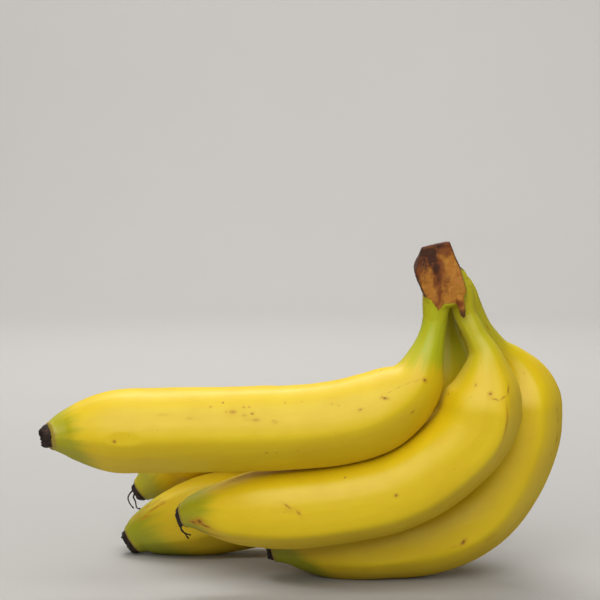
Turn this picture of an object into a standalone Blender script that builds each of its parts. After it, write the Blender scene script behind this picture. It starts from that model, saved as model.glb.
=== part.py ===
"""A cluster of five ripe bananas that grew on one crown, lying on their outer sides.

Metres, +Z up. X runs from the blossom ends (-X) to the crown (+X), Y runs from the front of the cluster
to its back. The origin is the middle of the cluster's footprint, on the surface that it lies on.
"""

import math
from typing import NamedTuple

import bmesh
import bpy
from mathutils import Matrix, Vector
from mathutils.geometry import interpolate_bezier

MM = 0.001

# Driving dimensions of the fruit: its relief is a share of the radius, and a neck has a share of that
FINGER_RADIUS = 18.6 * MM
NECK_RADIUS = 5.0 * MM
BLOSSOM_RADIUS = 4.6 * MM
RIDGES = 5
RIDGE_RELIEF = 0.085
NECK_RELIEF = 0.35
RIDGE_MEAN = 0.4

# The level at which the fruit is pressed flat by its own weight, and the gap between pieces that touch
REST_LEVEL = 1.3 * MM
GAP = 0.3 * MM

# Driving dimensions of the crown: its depth, its slant to the right, how far its ends lean for each
# metre of height, how much they are drawn in and over which share of its depth, and by which share of
# its height the top drops towards the back
CROWN_FRONT = -7.0 * MM
CROWN_BACK = 45.0 * MM
CROWN_SLANT = 3.0 * MM
CROWN_FRONT_LEAN = 0.10
CROWN_BACK_LEAN = 0.30
CROWN_TUCK = 0.03
CROWN_TUCK_SHARE = 0.1
CROWN_DROP = 0.28
CROWN_MIDDLE = Vector((62.0, 0.0, 143.5)) * MM
CROWN_SHARES = (0.0, 0.03, 0.1, 0.28, 0.5, 0.72, 0.9, 0.97, 1.0)

# Driving dimensions of the dried flower remains: how their edge waves, and how much narrower they end
STRAND_RADIUS = 0.45 * MM
STUB_WAVE = 0.05
STUB_RIPPLE = 0.03
STUB_NARROWING = 0.16
STUB_RAGGED = 0.35 * MM

# Fineness of the facets, with the rings of a finger crowded together round its bend
SIDES = 20
RINGS = 38
RING_CROWDING = 0.05
BEND_SHARE = 0.2
STUB_SIDES = 10
STUB_RINGS = 4
CURVE_STEPS = 12

# How a finger fills out from its end: share of the taper's length, share of the way to full girth
TAPER = ((0.0, 0.0), (0.15, 0.28), (0.3, 0.53), (0.5, 0.77), (0.7, 0.91), (1.0, 1.0))

PEEL = (0.86, 0.68, 0.12, 1.0)
CROWN_BROWN = (0.30, 0.14, 0.04, 1.0)
BLOSSOM_BROWN = (0.035, 0.018, 0.010, 1.0)


class Finger(NamedTuple):
    """One banana, in mm: its centreline from the crown to the blossom end, and the lengths over which
    the slim neck goes on, the shoulder fills out and the end tapers. Its girths are shares of the usual
    ones. The dried strands on its end are distances out of it, to the front and to the inner side."""

    name: str
    path: tuple
    neck: float
    shoulder: float
    taper: float
    girth: float = 1.0
    neck_girth: float = 1.0
    scar_girth: float = 1.0
    ridge_turn: float = 0.0
    stub: float = 2.0
    strands: tuple = ()


FINGERS = (
    Finger(
        name="upper_front",
        path=(
            (60.3, 0, 138), (60.2, 0, 130), (59.2, 0, 121), (56, -1, 109), (50, -3, 95.5),
            (39, -4, 87.2), (22, -5, 80.6), (0, -6, 77.6), (-44, -9, 76.8), (-83, -13, 76.6),
            (-101.2, -16.9, 75.8), (-109.2, -20.8, 74.9),
        ),
        neck=16, shoulder=52, taper=40, neck_girth=1.1, scar_girth=1.06, ridge_turn=-9, stub=2.4,
    ),
    Finger(
        name="lower_front",
        path=(
            (71.2, 4, 139), (73, 2.5, 127), (77, 1, 118.5), (81.4, 0, 109), (82.5, 0, 99),
            (81.6, 0, 89.5), (76.3, 0, 73.5), (60, 0, 57.6), (40.6, 0, 47), (21, 0, 42.6),
            (0, 0, 40), (-27, 1, 38.2), (-46, 3, 37.2), (-53.4, 4, 35.2),
        ),
        neck=23, shoulder=36, taper=52, ridge_turn=-31, stub=1.3,
        strands=(
            ((0.8, 0.0, 3.0), (1.8, 0.8, -0.5), (1.9, 1.0, -2.0), (1.6, 1.0, -4.4), (1.0, 1.0, -6.6),
             (0.2, 1.0, -8.4), (-0.6, 1.0, -10.8)),
            ((1.0, 1.2, -3.6), (1.2, 1.6, -6.2), (-0.4, 2.0, -8.0), (-2.4, 2.2, -9.2)),
        ),
    ),
    Finger(
        name="bottom",
        path=(
            (71.8, 16.5, 140), (76.6, 17, 129.6), (81.6, 19, 119), (89, 24, 110), (96.5, 28.5, 103),
            (101.5, 31.5, 93), (102.5, 32, 81), (100.7, 31, 65.5), (92.8, 29.5, 47), (80.2, 28.5, 31.5),
            (60, 28.5, 22.2), (37, 28.5, 19.6), (15, 28.5, 17.9), (-4, 28.5, 16.4), (-13.5, 28.5, 13.9),
        ),
        neck=38, shoulder=34, taper=50, ridge_turn=-24, stub=1.6,
    ),
    Finger(
        name="lower_back",
        path=(
            (71.6, 37, 139), (71.8, 39, 127), (73.5, 45.5, 114), (77, 55, 103), (80.5, 63, 92),
            (81.5, 67.5, 79), (77, 69, 63), (61, 71, 48), (39, 75, 38.5), (0, 80, 29),
            (-35, 79.5, 23.2), (-60.5, 79, 17.3), (-77, 80, 11.6), (-83.3, 80, 7.6),
        ),
        neck=24, shoulder=36, taper=47, girth=1.06, scar_girth=1.42, ridge_turn=-20, stub=2.4,
    ),
    Finger(
        name="upper_back",
        path=(
            (64.4, 25, 139), (66, 26, 125), (67, 27.5, 116), (67.2, 28.5, 106), (65, 30.5, 96),
            (58, 34, 86.5), (44, 40, 78.5), (23, 50, 71.5), (0, 62, 67.8), (-25, 77.5, 66),
            (-45, 93, 59.3), (-62, 101.8, 46.4), (-72.5, 104.5, 34.6), (-81.2, 105.5, 27.8),
        ),
        neck=18, shoulder=35, taper=50, girth=0.99, scar_girth=1.15, ridge_turn=16, stub=2.4,
        strands=(
            ((1.5, 0.6, 2.1), (3.6, 1.0, 2.5), (6.8, 1.0, 1.2), (8.0, 1.0, -1.6), (8.0, 1.0, -5.0)),
            ((1.7, 0.6, 0.6), (4.2, 1.2, 0.0), (4.9, 1.4, -2.5), (6.4, 1.2, -5.8), (5.2, 1.2, -7.3)),
        ),
    ),
)

# Outline of the crown's front in mm, as X and Z, clockwise from its lower left
CROWN_OUTLINE = (
    (53.6, 134.7), (52.1, 139.6), (50.0, 145.5), (50.6, 154.3), (53.3, 156.3),
    (59.3, 157.9), (65.4, 158.9), (68.1, 153.6), (70.7, 146.4), (73.2, 136.9),
    (72.0, 131.0), (66.0, 131.2), (60.8, 128.7), (56.0, 131.4),
)


def smooth(t):
    """Eases from 0 to 1 without a corner at either end."""
    t = min(max(t, 0.0), 1.0)
    return t * t * (3.0 - 2.0 * t)


def along(table, t):
    """The value at t of a table of (place, value) pairs, in straight runs between them."""
    for (start, low), (end, high) in zip(table, table[1:]):
        if t <= end:
            return low + (high - low) * (t - start) / (end - start)
    return table[-1][1]


def smooth_route(points):
    """A fine run of points on the smooth curve through the given ones, with even handles at each."""
    arriving, leaving = [], []
    for i, point in enumerate(points):
        before = points[max(i - 1, 0)]
        after = points[min(i + 1, len(points) - 1)]
        way = (after - before).normalized()
        arriving.append(point - way * (point - before).length / 3)
        leaving.append(point + way * (after - point).length / 3)
    route = [points[0]]
    for i in range(len(points) - 1):
        bend = (points[i], leaving[i], arriving[i + 1], points[i + 1])
        route.extend(interpolate_bezier(*bend, CURVE_STEPS)[1:])
    return route


class Centreline:
    """A smooth curve that can be read at any distance from its start."""

    def __init__(self, points):
        self.route = smooth_route([Vector(p) * MM for p in points])
        self.reach = [0.0]
        for a, b in zip(self.route, self.route[1:]):
            self.reach.append(self.reach[-1] + (b - a).length)
        self.length = self.reach[-1]

    def at(self, distance):
        """The point at this distance, past the ends in a straight line."""
        i = 0
        while i < len(self.route) - 2 and self.reach[i + 1] < distance:
            i += 1
        share = (distance - self.reach[i]) / (self.reach[i + 1] - self.reach[i])
        return self.route[i].lerp(self.route[i + 1], share)

    def way(self, distance):
        """The direction of the curve at this distance."""
        low = max(distance - 1.5 * MM, 0.0)
        high = min(distance + 1.5 * MM, self.length)
        return (self.at(high) - self.at(low)).normalized()

    def axes(self, distance):
        """The curve's direction, and across it the ways to the cluster's front and to its inner side."""
        way = self.way(distance)
        front = Vector((0, -1, 0))
        front = (front - way * front.dot(way)).normalized()
        return way, front, way.cross(front)


def girth_at(finger, distance, length):
    """The finger's mean radius at a distance from the crown: neck, shoulder, full body, tapered end."""
    neck = NECK_RADIUS * finger.neck_girth
    full = FINGER_RADIUS * finger.girth
    scar = BLOSSOM_RADIUS * finger.scar_girth
    shoulder = smooth((distance / MM - finger.neck) / finger.shoulder)
    taper = along(TAPER, (length - distance) / (finger.taper * MM))
    return min(neck + (full - neck) * shoulder, scar + (full - scar) * taper)


def ridge_factor(angle, strength):
    """A rounded five-sided section: above 1 on the ridges, below 1 in the middle of the facets."""
    facet = 2 * math.pi / RIDGES
    offset = (angle % facet) - facet / 2
    side = math.cos(facet / 2)
    sharp = (side / math.cos(offset) - side) / (1 - side)
    return 1 + strength * (sharp - RIDGE_MEAN)


def ring_spacing(t):
    """Places the rings closer together round the bend and at the blossom end than along the body."""
    turn = 2 * math.pi
    return t - RING_CROWDING * (math.sin(turn * (t - BEND_SHARE)) + math.sin(turn * BEND_SHARE))


def tube(sides, rings):
    """An upright closed tube of radius 1 and height 1 with evenly spaced rings, as a bmesh."""
    bm = bmesh.new()
    bmesh.ops.create_cone(bm, cap_ends=True, segments=sides, radius1=1, radius2=1, depth=1)
    bmesh.ops.translate(bm, verts=bm.verts, vec=(0, 0, 0.5))
    upright = [e for e in bm.edges if abs(e.verts[0].co.z - e.verts[1].co.z) > 0.5]
    bmesh.ops.subdivide_edges(bm, edges=upright, cuts=rings - 2, use_grid_fill=True)
    return bm


def finger_mesh(finger, extra=0.0):
    """The finger as a bmesh, grown by extra all over where a socket is cut for it."""
    line = Centreline(finger.path)
    bm = tube(SIDES, RINGS)
    for vert in bm.verts:
        distance = ring_spacing(vert.co.z) * line.length
        angle = math.atan2(vert.co.y, vert.co.x)
        way, front, inner = line.axes(distance)
        radius = girth_at(finger, distance, line.length)
        fullness = smooth((radius - NECK_RADIUS) / (FINGER_RADIUS - NECK_RADIUS))
        relief = RIDGE_RELIEF * (NECK_RELIEF + (1 - NECK_RELIEF) * fullness)
        shape = ridge_factor(angle - math.radians(finger.ridge_turn), relief)
        out = front * math.cos(angle) + inner * math.sin(angle)
        vert.co = line.at(distance) + out * (radius * shape + extra)
        if extra and distance < MM:
            vert.co -= way * extra
    return bm


def rest_flat(bm):
    """Cuts the fruit off level where its own weight presses it flat on the surface."""
    cut = bmesh.ops.bisect_plane(
        bm, geom=bm.verts[:] + bm.edges[:] + bm.faces[:],
        plane_co=(0, 0, REST_LEVEL), plane_no=(0, 0, -1), clear_outer=True, dist=1e-7,
    )
    edges = [e for e in cut["geom_cut"] if isinstance(e, bmesh.types.BMEdge)]
    if edges:
        bmesh.ops.contextual_create(bm, geom=edges)


def material(name, colour, roughness):
    """A plain finish in the part's own colour."""
    made = bpy.data.materials.new(name)
    made.use_nodes = True
    shader = made.node_tree.nodes["Principled BSDF"]
    shader.inputs["Base Color"].default_value = colour
    shader.inputs["Roughness"].default_value = roughness
    shader.inputs["Metallic"].default_value = 0.0
    made.diffuse_color = colour
    return made


def collection(name, hidden=False):
    """A collection in the scene, left out of renders where it holds cutters."""
    made = bpy.data.collections.new(name)
    made.hide_render = hidden
    bpy.context.scene.collection.children.link(made)
    return made


def new_object(name, bm, group, finish=None):
    """Turns a bmesh into a smooth-shaded object of the collection."""
    mesh = bpy.data.meshes.new(name)
    bm.to_mesh(mesh)
    bm.free()
    mesh.shade_smooth()
    if finish:
        mesh.materials.append(finish)
    obj = bpy.data.objects.new(name, mesh)
    group.objects.link(obj)
    return obj


def apply_modifiers(obj):
    """Replaces the object's mesh by the one that its modifiers make, and removes them."""
    graph = bpy.context.evaluated_depsgraph_get()
    mesh = bpy.data.meshes.new_from_object(obj.evaluated_get(graph))
    old = obj.data
    obj.modifiers.clear()
    obj.data = mesh
    mesh.name = obj.name
    bpy.data.meshes.remove(old)


def make_finger(finger, group, finish):
    """One banana, from its neck in the crown to the scar that carries the flower remains."""
    bm = finger_mesh(finger)
    rest_flat(bm)
    return new_object("banana_" + finger.name, bm, group, finish)


def crown_point(x, z, share):
    """A point of the crown's outline at a share of its depth, drawn in at both ends and lower at the back."""
    tuck = 1 - CROWN_TUCK * (1 - smooth(min(share, 1 - share) / CROWN_TUCK_SHARE))
    place = CROWN_MIDDLE + (Vector((x, 0, z)) * MM - CROWN_MIDDLE) * tuck
    height = place.z - CROWN_MIDDLE.z
    front = CROWN_FRONT + CROWN_FRONT_LEAN * height
    back = CROWN_BACK - CROWN_BACK_LEAN * height
    drop = CROWN_DROP * max(height, 0)
    return Vector((place.x + CROWN_SLANT * share, front + (back - front) * share, place.z - drop * share))


def make_crown(group, cutters, finish):
    """The crown: a short slanting block that closes over the necks, with a socket for each."""
    bm = tube(len(CROWN_OUTLINE), len(CROWN_SHARES))
    for vert in bm.verts:
        ring = round(vert.co.z * (len(CROWN_SHARES) - 1))
        turn = math.atan2(vert.co.y, vert.co.x) % (2 * math.pi)
        point = round(turn / (2 * math.pi) * len(CROWN_OUTLINE)) % len(CROWN_OUTLINE)
        vert.co = crown_point(*CROWN_OUTLINE[point], CROWN_SHARES[ring])
    crown = new_object("crown", bm, group, finish)
    for finger in FINGERS:
        cutter = new_object("socket_" + finger.name, finger_mesh(finger, GAP), cutters)
        cutter.display_type = "WIRE"
        cutter.hide_render = True
        cut = crown.modifiers.new("Socket", "BOOLEAN")
        cut.operation = "DIFFERENCE"
        cut.object = cutter
    return crown


def strand_object(points, group):
    """One dried strand as a thin closed tube through the given points."""
    curve = bpy.data.curves.new("strand", "CURVE")
    curve.dimensions = "3D"
    curve.bevel_depth = STRAND_RADIUS
    curve.bevel_resolution = 1
    curve.use_fill_caps = True
    spline = curve.splines.new("POLY")
    spline.points.add(len(points) - 1)
    for place, point in zip(spline.points, points):
        place.co = (*point, 1)
    obj = bpy.data.objects.new("strand", curve)
    group.objects.link(obj)
    graph = bpy.context.evaluated_depsgraph_get()
    mesh = bpy.data.meshes.new_from_object(obj.evaluated_get(graph))
    bpy.data.objects.remove(obj)
    bm = bmesh.new()
    bm.from_mesh(mesh)
    bpy.data.meshes.remove(mesh)
    bmesh.ops.remove_doubles(bm, verts=bm.verts, dist=1e-6)
    bmesh.ops.recalc_face_normals(bm, faces=bm.faces)
    return new_object("strand", bm, group)


def make_blossom_end(finger, group, cutters, finish):
    """The dried flower remains on the finger's tip: a ragged black stub, with any strands it has."""
    line = Centreline(finger.path)
    way, front, inner = line.axes(line.length)
    base = line.at(line.length) + way * GAP
    bm = tube(STUB_SIDES, STUB_RINGS)
    for vert in bm.verts:
        height = vert.co.z
        angle = math.atan2(vert.co.y, vert.co.x)
        wave = 1 + STUB_WAVE * math.sin(3 * angle + 1.2) + STUB_RIPPLE * math.sin(5 * angle)
        radius = BLOSSOM_RADIUS * finger.scar_girth * wave * (1 - STUB_NARROWING * height * height)
        out = front * math.cos(angle) + inner * math.sin(angle)
        ragged = STUB_RAGGED * math.sin(2 * angle + 0.6) * height
        vert.co = base + way * (finger.stub * MM * height + ragged) + out * radius
    stub = new_object("blossom_end_" + finger.name, bm, group, finish)
    tip = Matrix((way, front, inner)).transposed().to_4x4()
    tip.translation = line.at(line.length)
    strands = []
    for points in finger.strands:
        strands.append(strand_object([tip @ (Vector(p) * MM) for p in points], cutters))
    for strand in strands:
        join = stub.modifiers.new("Strand", "BOOLEAN")
        join.operation = "UNION"
        join.object = strand
    if strands:
        apply_modifiers(stub)
    for strand in strands:
        bpy.data.objects.remove(strand)
    return stub


def clear_scene():
    """Removes whatever the scene holds."""
    for obj in list(bpy.data.objects):
        bpy.data.objects.remove(obj, do_unlink=True)


def stand_on_origin(parts):
    """Moves the whole cluster so that its footprint's middle is the origin and it lies on Z = 0."""
    points = [v.co for obj in parts for v in obj.data.vertices]
    low = Vector(min(p[i] for p in points) for i in range(3))
    high = Vector(max(p[i] for p in points) for i in range(3))
    place = Matrix.Translation((-(low.x + high.x) / 2, -(low.y + high.y) / 2, -low.z))
    for obj in parts:
        obj.data.transform(place)
    return place


def main():
    """Builds the cluster and returns how far it was moved to stand on the origin."""
    clear_scene()
    cluster = collection("banana_cluster")
    cutters = collection("cutters", hidden=True)
    peel = material("banana_peel", PEEL, 0.45)
    brown = material("dried_crown", CROWN_BROWN, 0.75)
    black = material("dried_blossom", BLOSSOM_BROWN, 0.85)
    crown = make_crown(cluster, cutters, brown)
    apply_modifiers(crown)
    for cutter in list(cutters.objects):
        bpy.data.objects.remove(cutter)
    parts = [crown]
    for finger in FINGERS:
        parts.append(make_finger(finger, cluster, peel))
        parts.append(make_blossom_end(finger, cluster, cutters, black))
    return stand_on_origin(parts)


if __name__ == "__main__":
    main()
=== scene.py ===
"""The finished look of a cluster of five bananas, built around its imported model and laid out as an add-on.

Metres, +Z up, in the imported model's frame. Each fruit, the crown and the dried flower remains are modelled
here in full detail, with their peel, bark and cut faces, and stand for the plain solids of the same names.
"""

import math
from typing import NamedTuple

import bmesh
import bpy
from bpy.props import FloatProperty, FloatVectorProperty, PointerProperty
from mathutils import Color, Matrix, Vector, noise
from mathutils.geometry import interpolate_bezier


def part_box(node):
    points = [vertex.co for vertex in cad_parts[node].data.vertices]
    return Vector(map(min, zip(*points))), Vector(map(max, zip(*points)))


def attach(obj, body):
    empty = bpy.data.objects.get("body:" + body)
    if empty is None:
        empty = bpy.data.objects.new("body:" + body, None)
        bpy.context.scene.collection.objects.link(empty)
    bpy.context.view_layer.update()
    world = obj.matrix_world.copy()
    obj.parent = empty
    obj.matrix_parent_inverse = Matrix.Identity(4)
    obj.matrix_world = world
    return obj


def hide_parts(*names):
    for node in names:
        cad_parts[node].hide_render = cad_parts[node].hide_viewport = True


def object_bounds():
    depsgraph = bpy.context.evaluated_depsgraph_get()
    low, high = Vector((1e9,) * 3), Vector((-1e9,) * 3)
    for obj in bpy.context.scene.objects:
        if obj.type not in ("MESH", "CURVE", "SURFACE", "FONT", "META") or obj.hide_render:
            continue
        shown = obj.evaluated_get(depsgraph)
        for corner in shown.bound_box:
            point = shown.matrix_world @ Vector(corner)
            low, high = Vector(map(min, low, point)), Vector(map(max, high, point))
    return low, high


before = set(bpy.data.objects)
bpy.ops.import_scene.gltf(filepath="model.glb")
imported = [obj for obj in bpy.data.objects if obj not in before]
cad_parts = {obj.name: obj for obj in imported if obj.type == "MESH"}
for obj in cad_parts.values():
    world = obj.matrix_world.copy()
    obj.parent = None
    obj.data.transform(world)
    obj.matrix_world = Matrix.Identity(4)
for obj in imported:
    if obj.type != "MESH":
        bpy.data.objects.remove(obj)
CAD_LOW, CAD_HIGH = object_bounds()

bl_info = {
    "name": "Banana Cluster",
    "version": (1, 0, 0),
    "blender": (4, 5, 0),
    "location": "View3D > Sidebar > Bananas",
    "description": "Dresses a cluster of five bananas: peel, crown, dried flower remains and a plain stage",
    "category": "Add Mesh",
}

MM = 0.001

# From the point that the centrelines are drawn from to the middle of the cluster's footprint
DRAWING_SHIFT = Vector((-3.905, -43.395, -1.3)) * MM

# Driving dimensions of the fruit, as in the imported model
FINGER_RADIUS = 18.6 * MM
NECK_RADIUS = 5.0 * MM
BLOSSOM_RADIUS = 4.6 * MM
RIDGES = 5
RIDGE_MEAN = 0.4
NECK_RELIEF = 0.35

# How roundly the body narrows into its tip: higher keeps it full for longer
TAPER_POWER = 2.1

# How long the fruit's soft dents, small lumps and lengthwise strips are, and the drift and sway of its ridges
DENT_LENGTH = 22 * MM
LUMP_LENGTH = 6 * MM
STRIP_LENGTHS = (4 * MM, 4 * MM, 70 * MM)
DRIFT_LENGTH = 45 * MM
SWAY_LENGTH = 40 * MM

# The rim of peel round each tip, how far the peel turns in at its very end, and how far and over what
# length it sinks into the crown at its start
RIM_HEIGHT = 0.35 * MM
RIM_FROM_TIP = 1.2 * MM
RIM_HALF_WIDTH = 0.8 * MM
END_TURNED_IN = 0.7 * MM
START_SUNK = 1.6 * MM
START_LENGTH = 4 * MM

# How far the necks and the crown's living skin have turned from yellow to olive, how far from the crown
# that is solid, and where it is gone
NECK_OLIVE = 0.6
OLIVE_SOLID = 12 * MM
OLIVE_GONE = 48 * MM

# The dry lip of the peel: how far from the tip it is solid, and where it is gone
LIP_SOLID = 0.8 * MM
LIP_GONE = 2.4 * MM

# How far a mark reaches into the peel
MARK_DEPTH = 3 * MM

# Fineness of the fruit, whose rings lie closer over the last stretch, where the tip's rim is, of the smaller
# tubes, as sides and rings, and of the crown's skin
SIDES = 140
RINGS = 280
RING_PLAN = ((0.0, 0.0), (0.88, 0.965), (1.0, 1.0))
COLLAR_MESH = (40, 24)
SPUR_MESH = (28, 48)
STUB_MESH = (72, 26)
STRAND_MESH = (12, 60)
CROWN_VOXEL = 0.5 * MM

# Fineness of a centreline between two of its points, and how far either way its direction is read
CURVE_STEPS = 40
WAY_REACH = 1.5 * MM

# The photo's camera, which looks along +Y and a little down from its place in front of the cluster. The
# photo's size and the focal length are in pixels, the sensor is in mm
PHOTO_SIZE = 600
PHOTO_FOCAL = 1700
CAMERA_PLACE = Vector((0, -750, 185)) * MM + DRAWING_SHIFT
CAMERA_PITCH = math.radians(4)
SENSOR = 36.0


class Crease(NamedTuple):
    """A soft valley in the peel, or a swelling if its depth is negative: how far it is from the crown in mm
    and round the fruit in degrees, how far it reaches either way, and its depth in mm."""

    along: float
    around: float
    half_length: float
    half_turn: float
    depth: float


class Mark(NamedTuple):
    """A fleck, scar or bruise in the peel, or a line of painted shade: how far it is from the crown in mm and
    round the fruit in degrees, half its length and width in mm, how dark it is, and by how many degrees it
    leans."""

    along: float
    around: float
    half_length: float
    half_width: float
    strength: float
    lean: float = 0.0


class Green(NamedTuple):
    """How green an end of a fruit is: its strength, and the distances from that end in mm up to which it is
    solid and at which it is gone."""

    strength: float
    solid: float
    gone: float


class Finger(NamedTuple):
    """One banana, in mm: its centreline from the crown to the blossom end, how its girth runs along that, how
    green both ends are, on which side in degrees and by how much the green of the tip reaches further, the
    height of the stub and the strands on it, and what marks its peel."""

    name: str
    path: tuple
    neck: float
    shoulder: float
    taper: float
    neck_green: Green
    tip_green: Green
    tip_side: float = -95.0
    tip_reach: float = 14.0
    girth: float = 1.0
    neck_girth: float = 1.0
    scar_girth: float = 1.0
    ridge_turn: float = 0.0
    ridges: tuple = (1.0, 1.0, 1.0, 1.0, 1.0)
    stub: float = 2.0
    strands: tuple = ()
    creases: tuple = ()
    marks: tuple = ()


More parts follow.
